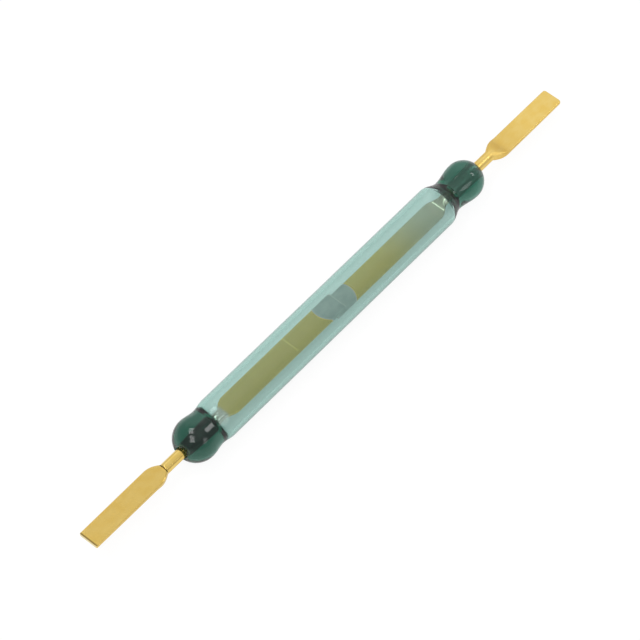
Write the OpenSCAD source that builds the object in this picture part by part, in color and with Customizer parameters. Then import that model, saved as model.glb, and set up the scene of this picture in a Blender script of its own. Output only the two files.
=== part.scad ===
// Glass reed switch: two flattened spring reeds sealed in a green glass capsule.
// The capsule lies along X with the contacts at the origin, and the reeds lie flat, facing +Z and -Z.

/* [Glass tube] */
// Outer diameter of the straight glass tube
tube_d = 5.4; // [5:0.1:6.4]
// Wall thickness of the glass tube
tube_wall = 0.5; // [0.4:0.05:0.8]
// Straight tube from the contacts to the left shoulder
left_tube_l = 19.9; // [17:0.1:26]
// Straight tube from the contacts to the right shoulder
right_tube_l = 18.55; // [15:0.05:26]

/* [Left seal] */
// Length of the shoulder between the tube and the waist
left_shoulder_l = 1.7; // [1.2:0.1:3]
// Diameter of the waist
left_waist_d = 4.96; // [4:0.02:5.3]
// Length from the waist to the widest part of the bead
left_neck_l = 2.05; // [1.2:0.05:3.5]
// Diameter of the fused bead
left_bead_d = 5.48; // [4.4:0.02:5.8]
// How far the gas space reaches past the straight tube
left_cavity_reach = 1.5; // [0.8:0.05:2]
// Length of the rounded end of the gas space
left_dome_l = 1.6; // [1:0.1:3]
// Shape of that end, from boxy at 0.5 and round at 1 to a cone at 2
left_dome_power = 0.6; // [0.5:0.05:2]

/* [Right seal] */
// Length of the shoulder between the tube and the waist
right_shoulder_l = 2.15; // [1.8:0.05:3.5]
// Diameter of the waist
right_waist_d = 4.12; // [3.6:0.02:5.3]
// Length from the waist to the widest part of the bead
right_neck_l = 2.95; // [1.8:0.05:4]
// Diameter of the fused bead
right_bead_d = 4.92; // [4.4:0.02:5.8]
// How far the gas space reaches past the straight tube
right_cavity_reach = 2.35; // [1:0.05:2.6]
// Length of the rounded end of the gas space
right_dome_l = 2.5; // [1.5:0.1:3.5]
// Shape of that end, from boxy at 0.5 and round at 1 to a cone at 2
right_dome_power = 1.4; // [0.5:0.05:2]

/* [Reed wire] */
// Diameter of the wire that both reeds are pressed from
wire_d = 1.35; // [1.1:0.05:1.5]
// Thickness of the flattened stretches
flat_t = 0.48; // [0.36:0.02:0.56]
// Radius along the edges of the flattened stretches
flat_edge_r = 0.14; // [0.05:0.01:0.16]

/* [Leads] */
// Round wire between the left bead and the left flat lead
left_shank_l = 2.75; // [1.5:0.05:8]
// Round wire between the right bead and the right flat lead
right_shank_l = 2.5; // [1.5:0.05:8]
// Length of the left flat lead with its flare
left_lead_l = 12.4; // [6:0.1:20]
// Length of the right flat lead with its flare
right_lead_l = 12; // [6:0.1:20]
// Width of a flat lead at its middle
lead_w = 2.68; // [2:0.02:3.2]
// Width of a flat lead at its cut end
lead_end_w = 2.64; // [2:0.02:3.2]
// Length over which a flat lead widens out of the wire
lead_flare_l = 1.9; // [1.2:0.1:3]
// Length of the sloped side where the wire meets a flat lead
lead_ramp_l = 2.6; // [1:0.1:3]
// Corner radius of the left cut end
left_corner_r = 0.08; // [0.04:0.02:0.8]
// Corner radius of the right cut end
right_corner_r = 0.3; // [0.04:0.02:0.8]

/* [Blades] */
// Width of a contact blade
blade_w = 2.72; // [2:0.02:3]
// How far the two blade tips overlap
blade_overlap = 1.38; // [0.8:0.02:3]
// Bare wire between the nearer end of the gas space and a blade's root
root_gap = 0.9; // [0.1:0.05:1.5]
// Distance from a blade's root to the start of its flat
root_flat_l = 0.55; // [0.1:0.05:1]
// Length over which a blade widens out of the wire
root_flare_l = 1.6; // [1.2:0.1:2.4]
// Length of the sloped side where the wire meets a blade
root_ramp_l = 1.2; // [0.8:0.1:2]
// Distance from a blade's root to the line that it flexes about
flex_l = 3.1; // [2.4:0.1:5]
// Slit between the fixed and the moving side of the flexing line
flex_slit = 0.02; // [0.02:0.01:0.1]

/* [Contacts] */
// Open gap between the plated faces of the two blades
contact_gap = 0.18; // [0.1:0.01:0.24]
// Thickness of the contact plating
contact_t = 0.02; // [0.01:0.005:0.04]
// Length of the plating from the left blade's tip
left_contact_l = 3.35; // [2.8:0.05:6]
// Length of the plating from the right blade's tip
right_contact_l = 4.1; // [2.8:0.05:6]
// Radius of the plating's curved edge
contact_edge_r = 2.5; // [2.2:0.05:4]
// Sideways offset of the middle of the curved edge
contact_edge_y = 0.45; // [0:0.05:0.8]

/* [Hidden] */
$fn = 64;

glass_color = [0.62, 0.78, 0.74, 0.5];
gold_color = [0.83, 0.69, 0.36];
contact_color = [0.5, 0.58, 0.56];

// Steps along each curve of an outline
curve_steps = 12;
// Overreach of a cutting shape past the face that it cuts
cut_over = 1;

tube_r = tube_d / 2;
cavity_r = tube_r - tube_wall;
wire_r = wire_d / 2;

left_bead_x = left_tube_l + left_shoulder_l + left_neck_l;
right_bead_x = right_tube_l + right_shoulder_l + right_neck_l;
left_cavity_x = left_tube_l + left_cavity_reach;
right_cavity_x = right_tube_l + right_cavity_reach;
// Both reeds are the same as far as the seals, so their blades start at the same distance
root_x = min(left_cavity_x, right_cavity_x) - root_gap;

// A flat lies to one side of the wire's axis, so that two reeds back to back leave the contact gap
flat_z = (contact_gap + flat_t) / 2 + contact_t;
flat_top = flat_z + flat_t / 2;
flat_bottom = flat_z - flat_t / 2;
// A flare starts this much narrower than the wire, and comes out through the wire's round side
flare_inset = 0.05;
flare_start_w = wire_d - flare_inset;

// Smooth step from 0 to 1, level at both ends
function ease(t) = (1 - cos(180 * t)) / 2;
function mix(a, b, t) = a + (b - a) * t;
// Where a bead of radius bead_r meets the wire, as an angle from the bead's widest ring
function cap_angle(bead_r) = acos(wire_r / bead_r);
// Distance from the contacts to the outer end of a seal, where the wire comes out
function seal_end(bead_x, bead_d) = bead_x + bead_d / 2 * sin(cap_angle(bead_d / 2));

// Outside of one end of the capsule as [radius, distance], from the straight tube out to the wire
function seal_outside(tube_l, shoulder_l, waist_d, neck_l, bead_d) =
    let (waist_x = tube_l + shoulder_l)
    let (bead_x = waist_x + neck_l)
    let (bead_r = bead_d / 2)
    concat(
        [for (i = [0:curve_steps]) let (t = i / curve_steps)
            [mix(tube_r, waist_d / 2, ease(t)), tube_l + shoulder_l * t]],
        [for (i = [1:curve_steps]) let (t = i / curve_steps)
            [mix(waist_d / 2, bead_r, ease(t)), waist_x + neck_l * t]],
        [for (i = [1:curve_steps]) let (a = cap_angle(bead_r) * i / curve_steps)
            [bead_r * cos(a), bead_x + bead_r * sin(a)]]
    );

// Inside of one end of the capsule as [radius, distance], from the wire in to the straight cavity
function seal_inside(cavity_x, dome_l, power) =
    [for (i = [0:curve_steps]) let (a = 90 * (1 - i / curve_steps))
        [mix(wire_r, cavity_r, pow(cos(a), power)), cavity_x - dome_l * (1 - pow(sin(a), power))]];

function flipped(points) = [for (p = points) [p[0], -p[1]]];
function backwards(points) = [for (i = [len(points) - 1:-1:0]) points[i]];

// Half outline of a flat stretch as [distance, half width], from its flare to its cut end
function flat_side(length, flare_l, width, end_w, corner_r) =
    let (start = flare_start_w / 2)
    concat(
        [for (i = [0:curve_steps]) let (t = i / curve_steps)
            [flare_l * t, mix(start, width / 2, sin(90 * t))]],
        [for (i = [1:curve_steps]) let (t = i / curve_steps)
            [mix(flare_l, length - corner_r, t), mix(width, end_w, t * t) / 2]],
        [for (i = [1:curve_steps / 2]) let (a = 180 * i / curve_steps)
            [length - corner_r * (1 - sin(a)), end_w / 2 - corner_r * (1 - cos(a))]]
    );

// Turns a drawing in the YZ plane into a bar along +X
module along_x(length) {
    rotate([90, 0, 90]) linear_extrude(length) children();
}

// Section of a flat stretch, with rounded edges
module flat_section(width, thickness, edge_r) {
    square([width - 2 * edge_r, thickness], center = true);
    square([width, thickness - 2 * edge_r], center = true);
    for (y = [-1, 1], z = [-1, 1])
        translate([y * (width / 2 - edge_r), z * (thickness / 2 - edge_r)]) circle(edge_r);
}

// A flat stretch that starts at x = 0, level with the wire's axis
module flat_strip(length, flare_l, width, end_w, corner_r) {
    side = flat_side(length, flare_l, width, end_w, corner_r);
    intersection() {
        translate([0, 0, flat_z]) along_x(length) flat_section(width, flat_t, flat_edge_r);
        linear_extrude(2 * flat_top) polygon(concat(side, backwards(flipped(side))));
    }
}

// Cuts for the end of the wire that runs into a flat at x = 0: level on top and sloped below
module wire_end_cut(ramp_l) {
    translate([0, -wire_d, flat_top]) cube([ramp_l + cut_over, 2 * wire_d, wire_d]);
    rotate([90, 0, 0]) linear_extrude(2 * wire_d, center = true)
        polygon([
            [0, -wire_r],
            [ramp_l, flat_bottom],
            [ramp_l + cut_over, flat_bottom],
            [ramp_l + cut_over, -wire_d],
            [0, -wire_d],
        ]);
}

// Round wire between a blade's root and a lead, with both ends cut to meet the flats
module wire_shank(lead_x) {
    difference() {
        translate([root_x - root_ramp_l, 0, 0])
            rotate([0, 90, 0]) cylinder(h = lead_x + lead_ramp_l - root_x + root_ramp_l, d = wire_d);
        translate([lead_x, 0, 0]) wire_end_cut(lead_ramp_l);
        translate([root_x, 0, 0]) mirror([1, 0, 0]) wire_end_cut(root_ramp_l);
    }
}

// Whole contact blade, from the start of its flat to its bare tip
module blade_strip() {
    start_x = root_x - root_flat_l;
    tip_x = contact_t - blade_overlap / 2;
    translate([start_x, 0, 0]) mirror([1, 0, 0])
        flat_strip(start_x - tip_x, root_flare_l, blade_w, blade_w, flat_edge_r);
}

// Everything on the lead side of a line across the reed
module beyond(x) {
    reach = left_bead_x + right_bead_x;
    translate([x, -tube_d, -tube_d]) cube([reach, 2 * tube_d, 2 * tube_d]);
}

// Fixed side of a reed: flat lead, wire through the seal and the blade's root
module reed_lead(bead_end_x, shank_l, lead_l, corner_r) {
    lead_x = bead_end_x + shank_l;
    color(gold_color) {
        translate([lead_x, 0, 0]) flat_strip(lead_l, lead_flare_l, lead_w, lead_end_w, corner_r);
        wire_shank(lead_x);
        intersection() {
            blade_strip();
            beyond(root_x - flex_l);
        }
    }
}

// Moving side of a reed: the blade from its flexing line to its tip
module reed_blade() {
    color(gold_color) difference() {
        blade_strip();
        beyond(root_x - flex_l - flex_slit);
    }
}

// Contact plating: a thin sleeve round the blade's tip with a closed end and a curved edge
module contact_plating(length) {
    tip_x = -blade_overlap / 2;
    edge_x = tip_x + length - contact_edge_r;
    height = 2 * (flat_top + contact_t);
    color(contact_color) intersection() {
        difference() {
            translate([tip_x, 0, flat_z]) along_x(length)
                flat_section(blade_w + 2 * contact_t, flat_t + 2 * contact_t, flat_edge_r + contact_t);
            blade_strip();
        }
        union() {
            translate([edge_x, contact_edge_y, 0]) cylinder(h = height, r = contact_edge_r);
            translate([tip_x - cut_over, -tube_d, 0]) cube([edge_x - tip_x + cut_over, 2 * tube_d, height]);
        }
    }
}

// A reed is drawn towards +X with its flat up: the left one is turned to -X, the right one turned over
module on_left() {
    mirror([1, 0, 0]) children();
}

module on_right() {
    mirror([0, 0, 1]) children();
}

module glass_capsule() {
    left_out = seal_outside(left_tube_l, left_shoulder_l, left_waist_d, left_neck_l, left_bead_d);
    right_out = seal_outside(right_tube_l, right_shoulder_l, right_waist_d, right_neck_l, right_bead_d);
    left_in = seal_inside(left_cavity_x, left_dome_l, left_dome_power);
    right_in = seal_inside(right_cavity_x, right_dome_l, right_dome_power);
    color(glass_color) rotate([0, 90, 0]) rotate_extrude()
        polygon(concat(backwards(flipped(left_out)), right_out, right_in, backwards(flipped(left_in))));
}

module left_reed_lead() {
    on_left() reed_lead(seal_end(left_bead_x, left_bead_d), left_shank_l, left_lead_l, left_corner_r);
}

module left_reed_blade() {
    on_left() reed_blade();
}

module left_contact() {
    on_left() contact_plating(left_contact_l);
}

module right_reed_lead() {
    on_right() reed_lead(seal_end(right_bead_x, right_bead_d), right_shank_l, right_lead_l, right_corner_r);
}

module right_reed_blade() {
    on_right() reed_blade();
}

module right_contact() {
    on_right() contact_plating(right_contact_l);
}

glass_capsule();
left_reed_lead();
left_reed_blade();
left_contact();
right_reed_lead();
right_reed_blade();
right_contact();
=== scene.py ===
"""Looks of a glass reed switch: a green glass capsule fused over two gold-plated reeds.

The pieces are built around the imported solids, in metres, in the same frame: the capsule lies along X,
the left reed runs to -X with its flats above the axis, and the right one to +X with its flats below.
"""

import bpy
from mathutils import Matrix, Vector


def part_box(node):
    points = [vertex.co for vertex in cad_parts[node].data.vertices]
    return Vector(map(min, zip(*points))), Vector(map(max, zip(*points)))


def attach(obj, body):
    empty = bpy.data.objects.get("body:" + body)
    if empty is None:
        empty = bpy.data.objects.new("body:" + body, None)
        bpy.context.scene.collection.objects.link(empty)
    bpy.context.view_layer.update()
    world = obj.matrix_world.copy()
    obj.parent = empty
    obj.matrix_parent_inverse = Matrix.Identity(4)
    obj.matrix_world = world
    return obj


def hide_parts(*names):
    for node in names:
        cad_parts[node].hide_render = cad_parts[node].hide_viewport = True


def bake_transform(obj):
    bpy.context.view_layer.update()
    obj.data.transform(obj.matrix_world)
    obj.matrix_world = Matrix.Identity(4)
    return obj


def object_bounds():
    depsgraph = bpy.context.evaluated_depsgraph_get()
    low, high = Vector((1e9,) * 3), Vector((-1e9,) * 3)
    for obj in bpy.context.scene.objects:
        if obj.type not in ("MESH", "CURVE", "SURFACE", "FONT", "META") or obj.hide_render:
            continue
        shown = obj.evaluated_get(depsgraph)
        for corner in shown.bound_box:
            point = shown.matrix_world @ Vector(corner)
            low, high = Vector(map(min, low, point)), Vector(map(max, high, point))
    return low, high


bl_info = {
    "name": "Glass Reed Switch",
    "version": (1, 0, 0),
    "blender": (4, 5, 0),
    "location": "View3D > Sidebar > Reed Switch",
    "description": "Builds the glass capsule, the two reeds and their contact plating, and a studio stage",
    "category": "Add Mesh",
}

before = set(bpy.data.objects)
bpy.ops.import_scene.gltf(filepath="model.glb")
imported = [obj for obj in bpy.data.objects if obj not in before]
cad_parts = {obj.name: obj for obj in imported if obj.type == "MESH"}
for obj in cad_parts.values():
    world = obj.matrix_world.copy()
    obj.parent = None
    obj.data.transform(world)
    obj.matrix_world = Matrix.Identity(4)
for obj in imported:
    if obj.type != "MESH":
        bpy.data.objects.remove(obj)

import math

import bmesh
import bpy
import numpy as np
from bpy.props import FloatProperty, FloatVectorProperty, IntProperty, PointerProperty
from bpy.types import Operator, Panel, PropertyGroup
from mathutils import Matrix, Vector

MM = 0.001

CAD_LOW, CAD_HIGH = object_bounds()
GLASS_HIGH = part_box("glass_capsule")[1]
LEFT_LEAD_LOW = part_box("left_reed_lead")[0]
RIGHT_LEAD_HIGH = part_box("right_reed_lead")[1]
BLADE_LOW, BLADE_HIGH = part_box("left_reed_blade")
LEFT_CONTACT_LOW, LEFT_CONTACT_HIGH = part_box("left_contact")
RIGHT_CONTACT_LOW, RIGHT_CONTACT_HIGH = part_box("right_contact")


# Sizes and colours that a user would change

def length(name, description, default):
    """A length in metres."""
    return FloatProperty(
        name=name, description=description, default=default, subtype="DISTANCE", unit="LENGTH", precision=5
    )


def colour(name, description, default):
    """A linear colour."""
    return FloatVectorProperty(
        name=name, description=description, default=default, size=3, subtype="COLOR", min=0
    )


def place(name, description, default):
    """A point in metres."""
    return FloatVectorProperty(
        name=name, description=description, default=default, size=3, subtype="XYZ", unit="LENGTH", precision=5
    )


def way(name, description, default):
    """A direction."""
    return FloatVectorProperty(
        name=name, description=description, default=default, size=3, subtype="XYZ", precision=4
    )


def number(name, description, default):
    """A plain number."""
    return FloatProperty(name=name, description=description, default=default, precision=4)


class CapsuleSizes(PropertyGroup):
    """Glass capsule; distances along it are taken outwards from its middle."""

    tube_radius: length("Tube radius", "Outside radius of the straight tube", 2.7 * MM)
    wall: length("Wall", "Thickness of the tube's wall", 0.5 * MM)
    left_tube: length("Left tube", "Middle to the left end of the straight tube", 19.9 * MM)
    right_tube: length("Right tube", "Middle to the right end of the straight tube", 18.55 * MM)
    left_shoulder: length("Left shoulder", "Tube to the left waist", 1.7 * MM)
    right_shoulder: length("Right shoulder", "Tube to the right waist", 2.15 * MM)
    left_waist: length("Left waist", "Radius of the left waist", 2.48 * MM)
    right_waist: length("Right waist", "Radius of the right waist", 2.06 * MM)
    left_neck: length("Left neck", "Left waist to the middle of the bead", 2.05 * MM)
    right_neck: length("Right neck", "Right waist to the middle of the bead", 2.95 * MM)
    left_bead: length("Left bead", "Radius of the left bead", GLASS_HIGH.z)
    right_bead: length("Right bead", "Radius of the right bead", 2.46 * MM)
    left_cavity: length("Left cavity", "Middle to the left end of the gas space, at the wire", 21.45 * MM)
    right_cavity: length("Right cavity", "Middle to the right end of the gas space, at the wire", 21.25 * MM)
    left_dome: length("Left dome", "Depth of the left end of the gas space", 1.75 * MM)
    right_dome: length("Right dome", "Depth of the right end of the gas space", 2.3 * MM)
    left_cone: number("Left cone", "Shape of the left dome: 0.5 is boxy, 1 an ellipse and 2 a cone", 0.9)
    right_cone: number("Right cone", "Shape of the right dome: 0.5 is boxy, 1 an ellipse and 2 a cone", 1.75)
    bore: length("Bore", "Radius of the glass round the wire, a little under the wire's", 0.66 * MM)
    recess: length("Recess", "Width of the dip in the glass round the wire", 0.38 * MM)
    recess_depth: length("Recess depth", "Depth of that dip", 0.42 * MM)
    straight_end: length("Straight end", "Gap between the last two rings of a straight stretch", 0.14 * MM)
    segments: IntProperty(name="Segments", description="Faces round the capsule", default=144, min=24)


class ReedSizes(PropertyGroup):
    """Reeds; distances along each are taken outwards from the middle of the capsule."""

    wire_radius: length("Wire radius", "Radius of the round wire", 0.675 * MM)
    flat_top: length("Flat top", "Height of a flat's outer face above the axis", BLADE_HIGH.z)
    flat_bottom: length("Flat bottom", "Height of a flat's inner face above the axis", BLADE_LOW.z)
    edge_radius: length("Edge radius", "Rounding of a flat's long edges", 0.14 * MM)
    shoulder_radius: length("Shoulder radius", "Rounding of the edges where a flat starts", 0.34 * MM)
    flare: length("Flare", "Length over which a lead widens", 1.9 * MM)
    step: length("Step", "Length of the shallow step from wire to flat", 0.17 * MM)
    groove: length("Groove", "Depth of the die's mark along that step", 0.06 * MM)
    root: length("Root", "Middle to the root of the blade", 20.0 * MM)
    root_step: length("Root step", "Root to the flat, and to the shallow step on its outer face", 0.55 * MM)
    root_flare: length("Root flare", "Length over which the blade widens", 1.6 * MM)
    root_ramp: length("Root ramp", "Length of the deep step at the blade's root", 1.2 * MM)
    lead_ramp: length("Lead ramp", "Length of the deep step at the lead", 2.6 * MM)
    tip: length("Tip", "Middle to the bare tip of the blade, which lies past the middle", -BLADE_HIGH.x)
    blade_width: length("Blade width", "Width of the blade", BLADE_HIGH.y - BLADE_LOW.y)
    lead_width: length("Lead width", "Width of the lead past its flare", 2.68 * MM)
    lead_end_width: length("Lead end width", "Width of the lead at its cut end", 2.64 * MM)
    left_end: length("Left end", "Middle to the left cut end", -LEFT_LEAD_LOW.x)
    right_end: length("Right end", "Middle to the right cut end", RIGHT_LEAD_HIGH.x)
    left_lead: length("Left lead", "Length of the left flat lead", 12.4 * MM)
    right_lead: length("Right lead", "Length of the right flat lead", 12 * MM)
    left_corner: length("Left corner", "Rounding of the left lead's corners", 0.08 * MM)
    right_corner: length("Right corner", "Rounding of the right lead's corners", 0.22 * MM)
    burr: length("Burr", "Rounded rim of a cut end", 0.04 * MM)
    tip_bevel: length("Tip bevel", "Length of the slope at the blade's tip", 0.19 * MM)
    tip_drop: length("Tip drop", "Depth of that slope", 0.055 * MM)
    flex_reach: length("Flex reach", "Half of the stretch that bends when the contacts close", 3.1 * MM)


class ContactSizes(PropertyGroup):
    """Contact plating on the blades' tips."""

    thickness: length("Thickness", "Thickness of the plating", 0.02 * MM)
    left_length: length("Left length", "Length on the left blade", LEFT_CONTACT_HIGH.x - LEFT_CONTACT_LOW.x)
    right_length: length(
        "Right length", "Length on the right blade", RIGHT_CONTACT_HIGH.x - RIGHT_CONTACT_LOW.x
    )
    edge_curve: length("Edge curve", "Radius of the plating's curved edge", 2.5 * MM)
    edge_offset: length("Edge offset", "Sideways offset of the middle of that edge", 0.45 * MM)


class FinishSettings(PropertyGroup):
    """Colours and finishes."""

    gold: colour("Gold", "Plating on the leads", (0.90, 0.635, 0.165))
    pale_gold: colour("Pale gold", "Lighter patches of that plating", (0.93, 0.69, 0.22))
    # Darker gold for the drawn streaks and for the darker stretches of the leads
    dark_gold: colour("Worn gold", "Darker streaks of that plating", (0.66, 0.44, 0.11))
    blade_gold: colour("Blade gold", "Thinner plating inside the capsule", (0.775, 0.57, 0.215))
    # Painted highlight along a fine ridge across the left blade
    ridge_highlight: colour("Ridge gold", "Fine ridge across the left blade", (0.98, 0.73, 0.295))
    bare_metal: colour("Bare metal", "Wire where the plating ends", (0.61, 0.58, 0.50))
    root_metal: colour("Root metal", "Wire at the root of the left blade", (0.74, 0.66, 0.66))
    # Painted shade: the dark line in the die's groove across each lead, and along the left cut end's upper
    # edge
    painted_shade: colour("Die shade", "Dark line that the die leaves across the lead", (0.05, 0.03, 0.01))
    # Painted highlight: the left cut end's face, paler than its bare metal, as if lit
    cut_face_highlight: colour("Cut metal", "Face of the left cut end", (0.93, 0.79, 0.43))
    fused_left: colour("Fused left", "Wire where the left bead is fused to it", (0.10, 0.11, 0.10))
    fused_right: colour("Fused right", "Wire where the right bead is fused to it", (0.42, 0.41, 0.38))
    contact: colour("Contact grey", "Plating on the contacts", (0.57, 0.585, 0.56))
    contact_dark: colour("Contact shade", "Darker patches of that plating", (0.49, 0.51, 0.495))
    fringe: colour("Fringe", "Edge of that plating", (0.66, 0.62, 0.635))
    worn_tip: colour("Worn tip", "Rubbed edge of the plated tip", (0.69, 0.685, 0.65))
    glass_tint: colour("Glass tint", "Light that the glass lets through in depth", (0.125, 0.556, 0.4625))
    glass_density: number("Glass density", "Absorption of the glass, per metre", 870)
    glass_index: number("Glass index", "Refractive index of the glass", 1.51)


class StageSettings(PropertyGroup):
    """Camera, floor and lamps."""

    camera: place("Camera", "Place of the camera", (-0.177394, -0.150175, 0.340152))
    target: place("Target", "Point in the middle of the picture", (-0.000777, 0.001306, -0.003117))
    lens: number("Lens", "Focal length in millimetres on a 36 mm sensor", 201.526)
    floor_size: length("Floor size", "Half width of the floor", 3.0)
    floor_colour: colour("Floor colour", "Colour of the floor", (0.86, 0.86, 0.86))
    floor_in_picture: number("Floor in picture", "Brightness of the floor to the camera; 1 is white", 1.02)
    floor_in_glass: number("Floor in glass", "Brightness of the floor through glass", 0.97)
    floor_in_metal: number("Floor in metal", "Brightness of the floor in reflections", 0.86)
    shadow_in_picture: number("Shadow in picture", "Part of that brightness that shadows dim", 0.1)
    shadow_in_glass: number("Shadow in glass", "The same part through glass", 0.45)
    shadow_in_metal: number("Shadow in metal", "The same part in reflections", 0.3)
    dim_side: colour("Dim side", "Light from the camera's side and from overhead", (0.48, 0.47, 0.485))
    bright_side: colour("Bright side", "Light from the far side of the room", (1.16, 1.16, 1.15))
    bright_way: way("Bright way", "Direction of the far side", (0.759, 0.651, 0.0))
    lamp_distance: length("Lamp distance", "Middle of the object to each softbox", 0.62)
    lamp_level: number("Lamp level", "Brightness of a pane, where 1 is white", 3.4)


class ReedSwitchSettings(PropertyGroup):
    """All settings of the reed switch."""

    capsule: PointerProperty(type=CapsuleSizes)
    reeds: PointerProperty(type=ReedSizes)
    contacts: PointerProperty(type=ContactSizes)
    finish: PointerProperty(type=FinishSettings)
    stage: PointerProperty(type=StageSettings)


# Node trees

class Field:
    """An output socket in a node tree. Arithmetic on it adds Math nodes."""

    def __init__(self, tree, socket):
        self.tree = tree
        self.socket = socket

    @classmethod
    def make(cls, tree, kind, settings=None, inputs=None, out=0):
        """Adds any node: its settings first, then the values or links of its sockets."""
        node = tree.nodes.new(kind)
        for key, value in (settings or {}).items():
            setattr(node, key, value)
        for key, value in (inputs or {}).items():
            socket = pick(node.inputs, key)
            if isinstance(value, Field):
                tree.links.new(value.socket, socket)
            else:
                socket.default_value = value
        return cls(tree, pick(node.outputs, out) if len(node.outputs) else None)

    def math(self, operation, *values):
        """A Math node with this field as its first value."""
        inputs = dict(enumerate((self, *values)))
        return Field.make(self.tree, "ShaderNodeMath", {"operation": operation}, inputs)

    def reflected(self, operation, value):
        """A Math node with this field as its second value."""
        return Field.make(self.tree, "ShaderNodeMath", {"operation": operation}, {0: value, 1: self})

    def __add__(self, other):
        return self.math("ADD", other)

    def __radd__(self, other):
        return self.reflected("ADD", other)

    def __sub__(self, other):
        return self.math("SUBTRACT", other)

    def __rsub__(self, other):
        return self.reflected("SUBTRACT", other)

    def __mul__(self, other):
        return self.math("MULTIPLY", other)

    def __rmul__(self, other):
        return self.reflected("MULTIPLY", other)

    def __truediv__(self, other):
        return self.math("DIVIDE", other)

    def __rtruediv__(self, other):
        return self.reflected("DIVIDE", other)

    def __mod__(self, other):
        return self.math("MODULO", other)

    def rise(self, low, high):
        """0 below low, 1 above high and smooth between them."""
        settings = {"interpolation_type": "SMOOTHSTEP"}
        inputs = {"Value": self, "From Min": low, "From Max": high}
        return Field.make(self.tree, "ShaderNodeMapRange", settings, inputs)

    def blend(self, first, second):
        """A colour between two colours, with this field as the factor."""
        settings = {"data_type": "RGBA", "clamp_factor": True}
        inputs = {"Factor": self, "A": opaque(first), "B": opaque(second)}
        return Field.make(self.tree, "ShaderNodeMix", settings, inputs, "Result")


def pick(sockets, key):
    """A socket by number, or the shown one of that name."""
    if isinstance(key, int):
        return sockets[key]
    for socket in sockets:
        if socket.enabled and socket.name == key:
            return socket
    raise KeyError(f"no socket is named {key!r}")


def opaque(value):
    """A colour with its alpha; a link stays as it is."""
    return value if isinstance(value, Field) else (*value[:3], 1.0)


def new_material(name):
    """A material with a cleared tree and an output node."""
    material = bpy.data.materials.new(name)
    material.use_nodes = True
    tree = material.node_tree
    tree.nodes.clear()
    return material, tree, tree.nodes.new("ShaderNodeOutputMaterial")


def object_mm(tree):
    """Object coordinates in millimetres, as a vector and its three parts."""
    metres = Field.make(tree, "ShaderNodeTexCoord", out="Object")
    scaled = Field.make(tree, "ShaderNodeVectorMath", {"operation": "SCALE"}, {0: metres, "Scale": 1 / MM})
    split = Field.make(tree, "ShaderNodeSeparateXYZ", None, {0: scaled})
    parts = [Field(tree, socket) for socket in split.socket.node.outputs]
    return scaled, parts


def noise(tree, vector, stretch, detail=3.0, shift=(0, 0, 0)):
    """Noise in millimetres, stretched by a number of cells per millimetre on each axis."""
    mapped = Field.make(
        tree, "ShaderNodeMapping", {"vector_type": "POINT"},
        {"Vector": vector, "Scale": stretch, "Location": shift},
    )
    inputs = {"Vector": mapped, "Scale": 1.0, "Detail": detail, "Roughness": 0.5}
    return Field.make(tree, "ShaderNodeTexNoise", {"noise_dimensions": "3D"}, inputs)


def bump(tree, height, depth):
    """A bump of a height field, with its depth in metres."""
    return Field.make(tree, "ShaderNodeBump", None, {"Height": height, "Distance": depth, "Strength": 1.0})


def surface(tree, output, **inputs):
    """A Principled shader wired to the output; names have underscores for spaces."""
    named = {key.replace("_", " "): value for key, value in inputs.items()}
    shader = Field.make(tree, "ShaderNodeBsdfPrincipled", None, named)
    tree.links.new(shader.socket, output.inputs["Surface"])


# Where a finish sets in or ends along the reeds, in millimetres from the middle of the capsule
BLADE_PLATING_END = (20.5, 21.5)
FUSED_START, FUSED_END = (20.9, 21.5), (25.1, 25.6)
BARE_ROOT = (18.9, 19.4)
RIGHT_PLATING_THINS = (8.0, 17.5)
RIGHT_HALF = (-1.0, 1.0)
LEFT_DULL_END = (-29.6, -28.6)
RIGHT_DULL_START, RIGHT_DULL_END = (28.5, 30.5), (31.0, 36.0)
RIGHT_SATIN = (25.0, 27.0)
RIGHT_FLARE_START, RIGHT_FLARE_END = (27.8, 28.8), (30.6, 32.0)
# The painted highlight of a fine ridge on the left blade: along, across and up
RIDGE_START, RIDGE_END = (-7.72, -7.59), (-7.53, -7.40)
RIDGE_SIDE, RIDGE_HEIGHT = (-1.25, -1.0), (0.55, 0.58)
# The left cut end: its face with a painted highlight and its rim with painted shade, taken inwards from the
# end, and the rim's height
CUT_FACE, CUT_RIM, CUT_RIM_HEIGHT = (0.005, 0.03), (0.12, 0.24), (0.53, 0.57)


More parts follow.
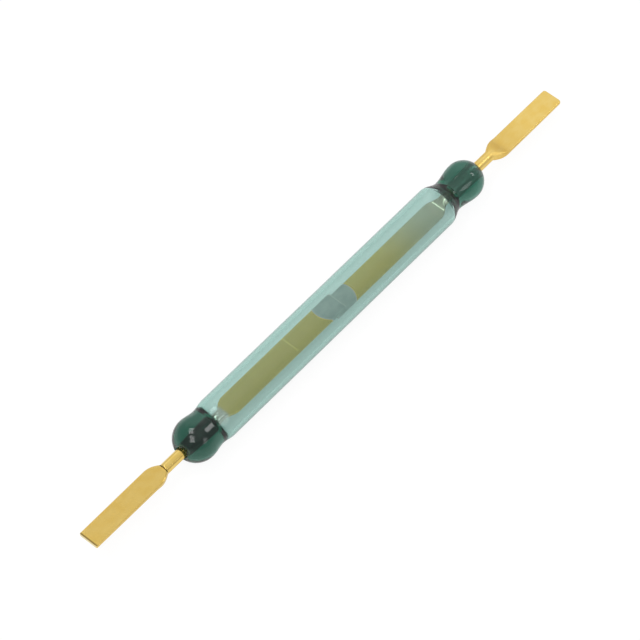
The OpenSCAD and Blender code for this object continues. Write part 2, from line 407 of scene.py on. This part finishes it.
def gold_material(finish):
    """Gold plating: drawn grain along the reed, soft mottling, and bare wire inside the seals."""
    material, tree, output = new_material("gold_plating")
    where, (x, y, z) = object_mm(tree)
    grain = noise(tree, where, (0.35, 9.0, 9.0), detail=4.0)
    mottle = noise(tree, where, (0.9, 1.3, 1.3), shift=(3, 1, 7))
    pits = noise(tree, where, (11.0, 14.0, 14.0), detail=2.0)
    from_middle = x.math("ABSOLUTE")
    right = x.rise(*RIGHT_HALF)
    inside = 1 - from_middle.rise(*BLADE_PLATING_END)
    before_wire = 1 - from_middle.rise(*FUSED_END)
    fused = from_middle.rise(*FUSED_START) * before_wire
    # The plating stops at the roots, and thins out towards the root of the right blade
    bare = x.rise(*RIGHT_PLATING_THINS).math("MAXIMUM", from_middle.rise(*BARE_ROOT)) * before_wire
    metal = right.blend(finish.root_metal, finish.bare_metal)
    # Painted highlight where a fine ridge crosses the left blade
    ridge = x.rise(*RIDGE_START) * (1 - x.rise(*RIDGE_END)) * y.rise(*RIDGE_SIDE) * z.rise(*RIDGE_HEIGHT)
    tone = mottle.rise(0.3, 0.7).blend(finish.gold, finish.pale_gold)
    # The left lead is a little darker, and so is the right one where it starts
    darkening = grain.rise(0.5, 0.8) * 0.14 + (1 - x.rise(*LEFT_DULL_END)) * 0.34
    darkening = darkening + x.rise(*RIGHT_DULL_START) * (1 - x.rise(*RIGHT_DULL_END)) * 0.3
    streaked = darkening.blend(tone, finish.dark_gold)
    thin = ridge.blend(finish.blade_gold, finish.ridge_highlight)
    thinned = (bare * 0.85).blend(inside.blend(streaked, thin), metal)
    # Painted shadow in the die's groove across each lead
    die = Field.make(tree, "ShaderNodeAttribute", {"attribute_name": "die_mark"}, out="Fac")
    groove_shaded = (die.rise(0.25, 0.8) * 0.9).blend(thinned, finish.painted_shade)
    # The left cut end's face is painted pale as a highlight, with a painted shade line along its upper edge
    end = LEFT_LEAD_LOW.x / MM
    face_reach, rim_reach = ([end + inwards for inwards in reach] for reach in (CUT_FACE, CUT_RIM))
    rim = (1 - x.rise(*rim_reach)) * z.rise(*CUT_RIM_HEIGHT)
    rimmed = (rim * 0.6).blend(groove_shaded, finish.painted_shade)
    trimmed = (1 - x.rise(*face_reach)).blend(rimmed, finish.cut_face_highlight)
    shade = fused.blend(trimmed, right.blend(finish.fused_left, finish.fused_right))
    flare = x.rise(*RIGHT_FLARE_START) * (1 - x.rise(*RIGHT_FLARE_END))
    rough = 0.13 + grain * 0.08 + pits * 0.06 + fused * 0.2 + x.rise(*RIGHT_SATIN) * 0.15 + flare * 0.12
    relief = bump(tree, grain * 0.6 + pits * 0.25, 0.002 * MM)
    surface(tree, output, Base_Color=shade, Metallic=1.0, Roughness=rough, Normal=relief)
    return material


# Widths along the contact plating, in millimetres: its gold line, its fringe and its rubbed tip
GOLD_LINE, FRINGE_WIDTH, RUBBED_TIP = (0.0, 0.16), (0.12, 0.4), (0.12, 0.22)


def contact_material(finish):
    """Grey contact plating, with a thin tinted edge where it fades into the gold."""
    material, tree, output = new_material("contact_plating")
    where, _ = object_mm(tree)
    cloud = noise(tree, where, (0.8, 1.4, 1.4), detail=4.0)
    grain = noise(tree, where, (0.6, 10.0, 10.0))
    edge = Field.make(tree, "ShaderNodeAttribute", {"attribute_name": "from_edge"}, out="Fac")
    tone = cloud.rise(0.35, 0.7).blend(finish.contact, finish.contact_dark)
    faded = edge.rise(*FRINGE_WIDTH).blend(finish.fringe, tone)
    tip = Field.make(tree, "ShaderNodeAttribute", {"attribute_name": "from_tip"}, out="Fac")
    rubbed = tip.rise(*RUBBED_TIP).blend(finish.worn_tip, faded)
    shade = edge.rise(*GOLD_LINE).blend(finish.gold, rubbed)
    rough = 0.28 + grain * 0.14
    relief = bump(tree, grain, 0.003 * MM)
    surface(tree, output, Base_Color=shade, Metallic=1.0, Roughness=rough, Normal=relief)
    return material


def glass_material(finish):
    """Green glass that colours with depth, with faint drawn lines along the tube."""
    material, tree, output = new_material("green_glass")
    where, _ = object_mm(tree)
    drawn = noise(tree, where, (0.03, 0.9, 0.9), detail=2.0)
    haze = noise(tree, where, (0.7, 0.7, 0.7), shift=(5, 2, 9))
    relief = bump(tree, drawn, 0.0002 * MM)
    surface(
        tree, output, Base_Color=(1, 1, 1, 1), Roughness=haze.rise(0.45, 0.8) * 0.02, Normal=relief,
        IOR=finish.glass_index, Transmission_Weight=1.0,
    )
    inputs = {"Color": opaque(finish.glass_tint), "Density": finish.glass_density}
    depth = Field.make(tree, "ShaderNodeVolumeAbsorption", None, inputs)
    tree.links.new(depth.socket, output.inputs["Volume"])
    return material


# Shapes

def mix(a, b, t):
    """The value a share t of the way from a to b."""
    return a + (b - a) * t


def ease(t):
    """Smooth step from 0 to 1, level at both ends."""
    return (1 - np.cos(np.pi * np.clip(t, 0, 1))) / 2


def plain_object(name, data):
    """Puts a mesh, a lamp or a camera into the scene as an object at the origin."""
    piece = bpy.data.objects.new(name, data)
    bpy.context.scene.collection.objects.link(piece)
    return piece


def set_points(mesh, name, values):
    """Gives a mesh's points a number each."""
    attribute = mesh.attributes.new(name, "FLOAT", "POINT")
    attribute.data.foreach_set("value", values.reshape(-1).astype(np.float32))


def face_outwards(mesh):
    """Turns a closed mesh's faces outwards, and stops if it isn't closed."""
    shell = bmesh.new()
    shell.from_mesh(mesh)
    if any(not edge.is_manifold for edge in shell.edges):
        raise RuntimeError(f"{mesh.name} isn't closed")
    bmesh.ops.recalc_face_normals(shell, faces=shell.faces)
    if shell.calc_volume(signed=True) < 0:
        bmesh.ops.reverse_faces(shell, faces=shell.faces)
    shell.to_mesh(mesh)
    shell.free()


# Rings of the capsule: along a shoulder or a neck, round a bead's end, into its dip and along a dome
SHOULDER_RINGS, CAP_RINGS, DIP_RINGS, DOME_RINGS = 20, 26, 10, 24
MERGE_DISTANCE = 0.001 * MM


def seal_outside(sizes, side):
    """Outside of one seal as (distance, radius), from the straight tube out to the wire."""
    tube, shoulder, waist, neck, bead = (
        getattr(sizes, f"{side}_{part}") for part in ("tube", "shoulder", "waist", "neck", "bead")
    )
    wire = bpy.context.scene.reed_switch.reeds.wire_radius
    bead_middle = tube + shoulder + neck
    # The bead rolls over into a dip, where the glass drew back from the wire
    cap_angle = math.acos((wire + sizes.recess) / bead)
    rim = bead_middle + bead * math.sin(cap_angle)
    t = np.linspace(0, 1, SHOULDER_RINGS)
    cap = np.linspace(0, cap_angle, CAP_RINGS)[1:]
    dip = np.linspace(0, np.pi / 2, DIP_RINGS)[1:]
    along = np.concatenate([
        [tube - sizes.straight_end],
        tube + shoulder * t,
        tube + shoulder + neck * t[1:],
        bead_middle + bead * np.sin(cap),
        rim - sizes.recess_depth * (1 - np.cos(dip)),
        [rim - sizes.recess_depth],
    ])
    radius = np.concatenate([
        [sizes.tube_radius],
        mix(sizes.tube_radius, waist, ease(t)),
        mix(waist, bead, ease(t[1:])),
        bead * np.cos(cap),
        wire + sizes.recess * (1 - np.sin(dip)),
        [sizes.bore],
    ])
    return along, radius


def seal_inside(sizes, side):
    """Inside of one seal as (distance, radius), from the straight cavity out to the wire."""
    end, dome, cone = (getattr(sizes, f"{side}_{part}") for part in ("cavity", "dome", "cone"))
    turn = np.linspace(0, np.pi / 2, DOME_RINGS)
    cavity = sizes.tube_radius - sizes.wall
    along = end - dome * (1 - np.sin(turn) ** cone)
    radius = mix(sizes.bore, cavity, np.maximum(0, np.cos(turn)) ** cone)
    return np.insert(along, 0, along[0] - sizes.straight_end), np.insert(radius, 0, cavity)


def capsule_profile(sizes):
    """Closed half section of the capsule as points (x, radius, 0)."""
    left_x, left_r = seal_outside(sizes, "left")
    right_x, right_r = seal_outside(sizes, "right")
    left_in_x, left_in_r = seal_inside(sizes, "left")
    right_in_x, right_in_r = seal_inside(sizes, "right")
    x = np.concatenate([-left_x[::-1], right_x, right_in_x[::-1], -left_in_x])
    r = np.concatenate([left_r[::-1], right_r, right_in_r[::-1], left_in_r])
    return np.column_stack([x, r, np.zeros_like(x)])


def turning_tree():
    """Geometry Nodes tree that turns a closed half section round the X axis into a solid."""
    tree = bpy.data.node_groups.new("turned_glass", "GeometryNodeTree")
    face = tree.interface
    sockets = {
        "Section": "NodeSocketGeometry",
        "Segments": "NodeSocketInt",
        "Merge Distance": "NodeSocketFloat",
        "Glass": "NodeSocketMaterial",
    }
    for name, kind in sockets.items():
        face.new_socket(name, in_out="INPUT", socket_type=kind)
    face.new_socket("Solid", in_out="OUTPUT", socket_type="NodeSocketGeometry")
    source = tree.nodes.new("NodeGroupInput")
    section, segments, merge, glass = (Field(tree, source.outputs[name]) for name in sockets)
    rows = Field.make(
        tree, "GeometryNodeAttributeDomainSize", {"component": "MESH"}, {"Geometry": section}, "Point Count"
    )
    columns = segments + 1
    counts = {"Vertices X": rows + 1, "Vertices Y": columns}
    grid = Field.make(tree, "GeometryNodeMeshGrid", None, counts, "Mesh")
    index = Field.make(tree, "GeometryNodeInputIndex")
    row = (index / columns + 0.5 / columns).math("FLOOR") % rows
    angle = (index % columns) * math.tau / segments
    place_of_row = Field.make(
        tree, "GeometryNodeSampleIndex", {"data_type": "FLOAT_VECTOR", "domain": "POINT"},
        {"Geometry": section, "Value": Field.make(tree, "GeometryNodeInputPosition"), "Index": row}, "Value",
    )
    split = Field.make(tree, "ShaderNodeSeparateXYZ", None, {0: place_of_row})
    along, radius = (Field(tree, split.socket.node.outputs[i]) for i in (0, 1))
    turned = Field.make(
        tree, "ShaderNodeCombineXYZ", None,
        {"X": along, "Y": radius * angle.math("COSINE"), "Z": radius * angle.math("SINE")},
    )
    shaped = Field.make(tree, "GeometryNodeSetPosition", None, {"Geometry": grid, "Position": turned})
    closed = Field.make(tree, "GeometryNodeMergeByDistance", None, {"Geometry": shaped, "Distance": merge})
    smooth = Field.make(tree, "GeometryNodeSetShadeSmooth", None, {"Geometry": closed, "Shade Smooth": True})
    real = Field.make(tree, "GeometryNodeRealizeInstances", None, {"Geometry": smooth})
    glazed = Field.make(tree, "GeometryNodeSetMaterial", None, {"Geometry": real, "Material": glass})
    sink = tree.nodes.new("NodeGroupOutput")
    tree.links.new(glazed.socket, sink.inputs["Solid"])
    return tree


def settle(piece):
    """Turns what a piece's modifiers make into its plain mesh."""
    bpy.context.view_layer.update()
    made = piece.evaluated_get(bpy.context.evaluated_depsgraph_get())
    mesh = bpy.data.meshes.new_from_object(made)
    piece.modifiers.clear()
    piece.data = mesh
    return mesh


# Points round a reed's section: rounded edges, broad faces and narrow sides
EDGE_POINTS = 8
BROAD_POINTS = (0.94, 0.55, 0.18, -0.18, -0.55, -0.94)
NARROW_POINTS = (-0.4, 0.4)


def section_pattern():
    """Unit points of a round section, and the parts of a flat one in the same order.

    Each row of the flat pattern is (corner y, corner z, arc y, arc z): a point lies at the corner's share
    of the inner rectangle plus the arc's share of the edge radius.
    """
    arc = np.linspace(0, np.pi / 2, EDGE_POINTS)
    rows = []
    for turn in range(2):
        flip = 1 - 2 * turn
        rows += [(flip, flip * share, flip, 0) for share in NARROW_POINTS]
        rows += [(flip, flip, flip * math.cos(a), flip * math.sin(a)) for a in arc]
        rows += [(flip * share, flip, 0, flip) for share in BROAD_POINTS]
        rows += [(-flip, flip, -flip * math.sin(a), flip * math.cos(a)) for a in arc]
    turns = (np.arange(len(rows)) - 0.5) * math.tau / len(rows)
    return np.column_stack([np.cos(turns), np.sin(turns)]), np.array(rows, float)


def section(half, top, bottom, edge_top, edge_bottom, flat_top, flat_bottom):
    """One section of a reed as points (y, z); flat_top and flat_bottom run from 0, round, to 1, flat."""
    round_points, flat_points = section_pattern()
    upper = round_points[:, 1] > 0
    middle, rise = (top + bottom) / 2, (top - bottom) / 2
    edge = np.where(upper, edge_top, edge_bottom)
    flatness = np.where(upper, flat_top, flat_bottom)
    round_y, round_z = half * round_points[:, 0], rise * round_points[:, 1]
    corner_y, corner_z, arc_y, arc_z = flat_points.T
    flat_y = corner_y * (half - edge) + arc_y * edge
    flat_z = corner_z * (rise - edge) + arc_z * edge
    return np.column_stack([mix(round_y, flat_y, flatness), middle + mix(round_z, flat_z, flatness)])


# Rings along a reed: over a step, a flare, the blade, the wire in the seal, the lead and its corners
STEP_RINGS, FLARE_RINGS, BLADE_RINGS, WIRE_RINGS, LEAD_RINGS, CORNER_RINGS = 26, 34, 40, 22, 16, 8
# Share of a step that lies before its line, and the middle and width of the die's groove, in steps
STEP_BEFORE, GROOVE_MIDDLE, GROOVE_WIDTH = 0.6, 0.35, 0.45
# How far the deep steps are eased, and the shares of a flare and a ramp over which a section turns flat
ROOT_EASING, LEAD_EASING = 0.12, 0.9
EDGE_REACH, FLAT_REACH = 0.5, 0.8
# Share of a flat's height above which the die's groove gets its painted shadow
SHADED_FROM = 0.6


def reed_stations(sizes, lead, end, corner):
    """Distances of a reed's rings from the middle of the capsule, from its tip to its cut end."""
    near = np.concatenate([
        np.linspace(-2 * sizes.step, 2 * sizes.step, STEP_RINGS),
        np.linspace(2 * sizes.step, sizes.flare, FLARE_RINGS)[1:],
    ])
    bend = np.sin(np.linspace(0, np.pi / 2, CORNER_RINGS))[1:]
    return np.concatenate([
        [sizes.tip],
        np.linspace(sizes.tip + sizes.tip_bevel, sizes.root - sizes.flare, BLADE_RINGS)[:-1],
        (sizes.root - near)[::-1],
        np.linspace(sizes.root - near[0], lead + near[0], WIRE_RINGS)[1:-1],
        lead + near,
        np.linspace(lead + sizes.flare, end - corner - sizes.burr, LEAD_RINGS)[1:],
        end - sizes.burr - corner * (1 - bend),
        [end],
    ])


def limited(share):
    """A share kept between 0 and 1."""
    return min(1.0, max(0.0, share))


def half_width(sizes, run, on_blade, lead_length):
    """Half of a reed's width, at a run from the line where its blade or its lead starts."""
    if on_blade:
        width, share = sizes.blade_width, (run - sizes.root_step) / sizes.root_flare
    else:
        taper = max(0.0, (run - sizes.flare) / (lead_length - sizes.flare))
        width, share = mix(sizes.lead_width, sizes.lead_end_width, taper ** 2), run / sizes.flare
    return mix(sizes.wire_radius, width / 2, math.sin(math.pi / 2 * limited(share)))


def reed_rings(sizes, end, lead_length, corner):
    """Rings of points along one reed drawn outwards, from tip to cut end, and each point's share of the
    painted shadow in the die's groove.
    """
    lead = end - lead_length
    stations = reed_stations(sizes, lead, end, corner)
    insets = {0: sizes.tip_drop, len(stations) - 1: sizes.burr}
    rings, marks = [], []
    for order, d in enumerate(stations):
        on_blade = sizes.root - d > d - lead
        run = sizes.root - d if on_blade else d - lead
        ramp, easing = (sizes.root_ramp, ROOT_EASING) if on_blade else (sizes.lead_ramp, LEAD_EASING)
        over = min(corner, max(0.0, d - (end - sizes.burr - corner)))
        half = half_width(sizes, run, on_blade, lead_length) - (corner - math.sqrt(corner ** 2 - over ** 2))
        stepped = float(ease((run - sizes.root_step * on_blade) / sizes.step + STEP_BEFORE))
        sloped = limited(run / ramp)
        groove = 0.0 if on_blade else math.exp(-((run / sizes.step - GROOVE_MIDDLE) / GROOVE_WIDTH) ** 2)
        top = mix(sizes.wire_radius, sizes.flat_top, stepped) - sizes.groove * groove
        bottom = mix(-sizes.wire_radius, sizes.flat_bottom, mix(sloped, float(ease(sloped)), easing))
        edge_top, edge_bottom = (
            mix(sizes.shoulder_radius, sizes.edge_radius, float(ease(run / reach)))
            for reach in (EDGE_REACH * sizes.flare, ramp)
        )
        inset = insets.get(order, 0.0)
        ring = section(
            half - inset, top - inset, bottom + inset, edge_top - inset, edge_bottom - inset,
            stepped, float(ease(run / (FLAT_REACH * ramp))),
        )
        rings.append(np.column_stack([np.full(len(ring), d), ring]))
        # How much painted shadow the die's groove puts on each point of a flat's upper part
        marks.append(groove * (ring[:, 1] > SHADED_FROM * sizes.flat_top))
    return np.array(rings), np.array(marks)


def put_side(points, side):
    """Turns points drawn outwards to the left, or turns them over for the right."""
    return points * ((-1, 1, 1) if side == "left" else (1, 1, -1))


def ring_faces(around, row, after):
    """Faces that join one ring of points to another."""
    start, goal = row * around, after * around
    return [
        (start + i, start + (i + 1) % around, goal + (i + 1) % around, goal + i) for i in range(around)
    ]


def closed_mesh(name, points, faces, crease, **values):
    """A closed smooth mesh, sharp past the crease's angle, with a number for each point under each name."""
    mesh = bpy.data.meshes.new(name)
    mesh.from_pydata(points.reshape(-1, 3).tolist(), [], faces)
    for key, numbers in values.items():
        set_points(mesh, key, numbers)
    face_outwards(mesh)
    mesh.shade_smooth()
    mesh.set_sharp_from_angle(angle=crease)
    return mesh


REED_CREASE, CONTACT_CREASE = math.radians(32), math.radians(40)


def reed_mesh(name, rings, marks, side):
    """A reed as a closed mesh over its rings, with a face on each end and the points' painted shadow in the
    die's groove.
    """
    count, around = rings.shape[:2]
    faces = [face for row in range(count - 1) for face in ring_faces(around, row, row + 1)]
    faces.append(tuple(range(around))[::-1])
    faces.append(tuple(range((count - 1) * around, count * around)))
    return closed_mesh(name, put_side(rings, side), faces, REED_CREASE, die_mark=marks)


# Rings on each side of a contact's sleeve, and the share of the plating's thickness that lies in the blade
SLEEVE_RINGS, SUNK_SHARE = 24, 0.5


def contact_rings(contacts, reeds, side):
    """Rings of a contact's sleeve drawn outwards: over the outside to the tip, and back along the blade."""
    plated = getattr(contacts, f"{side}_length")
    tip = reeds.tip - contacts.thickness
    middle = tip + plated - contacts.edge_curve
    inner_depth = SUNK_SHARE * contacts.thickness

    def grown_section(grown):
        return section(
            reeds.blade_width / 2 + grown, reeds.flat_top + grown, reeds.flat_bottom - grown,
            reeds.edge_radius + grown, reeds.edge_radius + grown, 1.0, 1.0,
        )

    def run(ring, last, steps):
        edge = middle + np.sqrt(contacts.edge_curve ** 2 - (ring[:, 0] - contacts.edge_offset) ** 2)
        return [np.column_stack([mix(edge, last, t), ring]) for t in steps]

    outer = run(grown_section(contacts.thickness), tip + reeds.tip_bevel, np.linspace(0, 1, SLEEVE_RINGS - 1))
    worn = grown_section(contacts.thickness - reeds.tip_drop)
    outer.append(np.column_stack([np.full(len(worn), tip), worn]))
    inner_tip = tip + contacts.thickness + inner_depth
    inner = run(grown_section(-inner_depth), inner_tip, np.linspace(1, 0, SLEEVE_RINGS))
    return np.array(outer + inner)


def contact_mesh(name, rings, side):
    """The sleeve as a closed mesh, with each point's millimetres from its curved edge and from its tip."""
    count, around = rings.shape[:2]
    outer_tip, inner_tip = count // 2 - 1, count // 2
    faces = []
    for row in range(count):
        if row != outer_tip:
            faces += ring_faces(around, row, (row + 1) % count)
    for row, order in ((outer_tip, 1), (inner_tip, -1)):
        faces.append(tuple(range(row * around, (row + 1) * around))[::order])
    along = rings[:, :, 0]
    return closed_mesh(
        name, put_side(rings, side), faces, CONTACT_CREASE,
        from_edge=(along[:1] - along) / MM, from_tip=(along - along.min()) / MM,
    )


# Stage

SENSOR_WIDTH = 36
NEAREST, FARTHEST = 0.01, 20
# Light turns many times inside the beads before it leaves them
GLASS_BOUNCES, ALL_BOUNCES = 20, 24


def hang_camera(stage):
    """The camera that looks at the target."""
    lens = bpy.data.cameras.new("camera")
    lens.lens = stage.lens
    lens.sensor_width = SENSOR_WIDTH
    lens.clip_start = NEAREST
    lens.clip_end = FARTHEST
    camera = plain_object("camera", lens)
    camera.location = stage.camera
    view = Vector(stage.target) - Vector(stage.camera)
    camera.rotation_mode = "QUATERNION"
    camera.rotation_quaternion = view.to_track_quat("-Z", "Y")
    return camera


def lay_floor(stage):
    """The floor, a square at the height of the object's lowest point."""
    half, height = stage.floor_size, CAD_LOW.z
    corners = [(-half, -half, height), (half, -half, height), (half, half, height), (-half, half, height)]
    mesh = bpy.data.meshes.new("floor")
    mesh.from_pydata(corners, [], [(0, 1, 2, 3)])
    mesh.materials.append(floor_material(stage))
    return plain_object("floor", mesh)


def floor_material(stage):
    """White floor with the object's shadow, faint as the camera sees it and deeper in metal and glass."""
    material, tree, output = new_material("studio_floor")
    path = tree.nodes.new("ShaderNodeLightPath")
    camera, glossy, through = (
        Field(tree, path.outputs[name]) for name in ("Is Camera Ray", "Is Glossy Ray", "Is Transmission Ray")
    )
    floor = Field.make(tree, "ShaderNodeBsdfDiffuse", None, {"Color": opaque(stage.floor_colour)})
    looks = (
        (glossy, stage.floor_in_metal, stage.shadow_in_metal),
        (through, stage.floor_in_glass, stage.shadow_in_glass),
        (camera, stage.floor_in_picture, stage.shadow_in_picture),
    )
    for seen, level, share in looks:
        shadow = Field.make(tree, "ShaderNodeBsdfDiffuse", None, {"Color": (share, share, share, 1)})
        own = {"Color": (1, 1, 1, 1), "Strength": level - share}
        glow = Field.make(tree, "ShaderNodeEmission", None, own)
        shown = Field.make(tree, "ShaderNodeAddShader", None, {0: shadow, 1: glow})
        floor = Field.make(tree, "ShaderNodeMixShader", None, {0: seen, 1: floor, 2: shown})
    tree.links.new(floor.socket, output.inputs["Surface"])
    return material


# Edges of the room's bright parts, as shares of the way to its far side and of the way up, and their levels
FAR_SIDE, FAR_HEIGHT, OVERHEAD = (0.33, 0.85), (0.3, 0.75), (0.55, 0.95)
LOW_LEVEL, OVERHEAD_LEVEL = 0.25, 0.42


def light_room(stage):
    """World that is white to the camera, and grows brighter towards the far side of the room."""
    world = bpy.data.worlds.new("room")
    bpy.context.scene.world = world
    world.use_nodes = True
    tree = world.node_tree
    tree.nodes.clear()
    direction = Field.make(tree, "ShaderNodeTexCoord", out="Generated")
    far = Field.make(
        tree, "ShaderNodeVectorMath", {"operation": "DOT_PRODUCT"},
        {0: direction, 1: stage.bright_way}, "Value",
    )
    height = Field.make(tree, "ShaderNodeSeparateXYZ", None, {0: direction}, "Z")
    lit = far.rise(*FAR_SIDE) * (LOW_LEVEL + height.rise(*FAR_HEIGHT) * (1 - LOW_LEVEL))
    lit = lit.math("MAXIMUM", height.rise(*OVERHEAD) * OVERHEAD_LEVEL)
    camera = Field.make(tree, "ShaderNodeLightPath", out="Is Camera Ray")
    tint = camera.blend(lit.blend(stage.dim_side, stage.bright_side), (1, 1, 1))
    room = Field.make(tree, "ShaderNodeBackground", None, {"Color": tint, "Strength": 1.0})
    output = tree.nodes.new("ShaderNodeOutputWorld")
    tree.links.new(room.socket, output.inputs["Surface"])


# Panes of two window-like softboxes: direction, direction across, width and height in metres, and share
# of the lamps' level. The straight tube mirrors a narrow ring of the room, which the panes leave free.
PANES = {
    "left_upper_pane": ((-0.147, 0.331, 0.871), (0.197, -0.32, 0.153), 0.25, 0.32, 1.0),
    "left_lower_pane": ((-0.583, -0.115, 0.726), (0.184, -0.31, 0.10), 0.23, 0.35, 1.0),
    "right_upper_pane": ((0.62, -0.40, 0.68), (0.0, -0.86, -0.51), 0.20, 0.12, 1.1),
    "right_lower_pane": ((0.06, -0.81, 0.47), (0.30, -0.10, -0.236), 0.20, 0.30, 0.5),
}


def hang_pane(stage, name, direction, sideways, width, height, share):
    """A rectangle of light that faces the middle of the object."""
    towards = Vector(direction).normalized()
    across = Vector(sideways)
    across = (across - across.dot(towards) * towards).normalized()
    light = bpy.data.lights.new(name, "AREA")
    light.shape = "RECTANGLE"
    light.size = width
    light.size_y = height
    light.energy = share * stage.lamp_level * math.pi * width * height
    lamp = plain_object(name, light)
    lamp.rotation_mode = "QUATERNION"
    lamp.rotation_quaternion = Matrix((across, towards.cross(across), towards)).transposed().to_quaternion()
    lamp.location = towards * stage.lamp_distance
    lamp.visible_camera = False


# Operators

class REED_SWITCH_OT_capsule(Operator):
    """Turn the glass capsule and fuse it over the wires"""

    bl_idname = "reed_switch.capsule"
    bl_label = "Glass Capsule"

    def execute(self, context):
        settings = context.scene.reed_switch
        sizes = settings.capsule
        mesh = bpy.data.meshes.new("glass_section")
        mesh.from_pydata(capsule_profile(sizes).tolist(), [], [])
        piece = plain_object("capsule_glass", mesh)
        tree = turning_tree()
        turning = piece.modifiers.new("Turning", "NODES")
        turning.node_group = tree
        values = {
            "Segments": sizes.segments,
            "Merge Distance": MERGE_DISTANCE,
            "Glass": glass_material(settings.finish),
        }
        for item in tree.interface.items_tree:
            if item.in_out == "INPUT" and item.name in values:
                turning[item.identifier] = values[item.name]
        face_outwards(settle(piece))
        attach(piece, "capsule")
        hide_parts("glass_capsule")
        return {"FINISHED"}


class REED_SWITCH_OT_reeds(Operator):
    """Make the two reeds, each one strip of wire flattened at both ends"""

    bl_idname = "reed_switch.reeds"
    bl_label = "Reeds"

    def execute(self, context):
        settings = context.scene.reed_switch
        sizes = settings.reeds
        gold = gold_material(settings.finish)
        for side in ("left", "right"):
            parts = (getattr(sizes, f"{side}_{part}") for part in ("end", "lead", "corner"))
            rings, marks = reed_rings(sizes, *parts)
            piece = plain_object(f"{side}_reed", reed_mesh(f"{side}_reed", rings, marks, side))
            piece.data.materials.append(gold)
            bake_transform(piece)
            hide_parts(f"{side}_reed_lead", f"{side}_reed_blade")
        return {"FINISHED"}


class REED_SWITCH_OT_contacts(Operator):
    """Plate the tips of the blades"""

    bl_idname = "reed_switch.contacts"
    bl_label = "Contact Plating"

    def execute(self, context):
        settings = context.scene.reed_switch
        grey = contact_material(settings.finish)
        for side in ("left", "right"):
            rings = contact_rings(settings.contacts, settings.reeds, side)
            piece = plain_object(f"{side}_plating", contact_mesh(f"{side}_plating", rings, side))
            piece.data.materials.append(grey)
            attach(piece, f"{side}_blade")
            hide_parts(f"{side}_contact")
        return {"FINISHED"}


class REED_SWITCH_OT_stage(Operator):
    """Set up the camera, the floor and the lamps"""

    bl_idname = "reed_switch.stage"
    bl_label = "Stage"

    def execute(self, context):
        scene = context.scene
        stage = scene.reed_switch.stage
        scene.view_settings.view_transform = "Standard"
        scene.cycles.transmission_bounces = GLASS_BOUNCES
        scene.cycles.max_bounces = ALL_BOUNCES
        scene.camera = hang_camera(stage)
        lay_floor(stage)
        light_room(stage)
        for name, pane in PANES.items():
            hang_pane(stage, name, *pane)
        return {"FINISHED"}


class VIEW3D_PT_reed_switch(Panel):
    """Lists the steps that build the reed switch."""

    bl_label = "Reed Switch"
    bl_space_type = "VIEW_3D"
    bl_region_type = "UI"
    bl_category = "Reed Switch"

    def draw(self, context):
        for step in STEPS:
            self.layout.operator(step.bl_idname)


STEPS = (REED_SWITCH_OT_capsule, REED_SWITCH_OT_reeds, REED_SWITCH_OT_contacts, REED_SWITCH_OT_stage)
GROUPS = (CapsuleSizes, ReedSizes, ContactSizes, FinishSettings, StageSettings, ReedSwitchSettings)
CLASSES = (*GROUPS, *STEPS, VIEW3D_PT_reed_switch)


def register():
    for item in CLASSES:
        bpy.utils.register_class(item)
    bpy.types.Scene.reed_switch = PointerProperty(type=ReedSwitchSettings)


def unregister():
    del bpy.types.Scene.reed_switch
    for item in reversed(CLASSES):
        bpy.utils.unregister_class(item)


def main():
    register()
    bpy.ops.reed_switch.capsule()
    bpy.ops.reed_switch.reeds()
    bpy.ops.reed_switch.contacts()
    bpy.ops.reed_switch.stage()


if __name__ == "__main__":
    main()
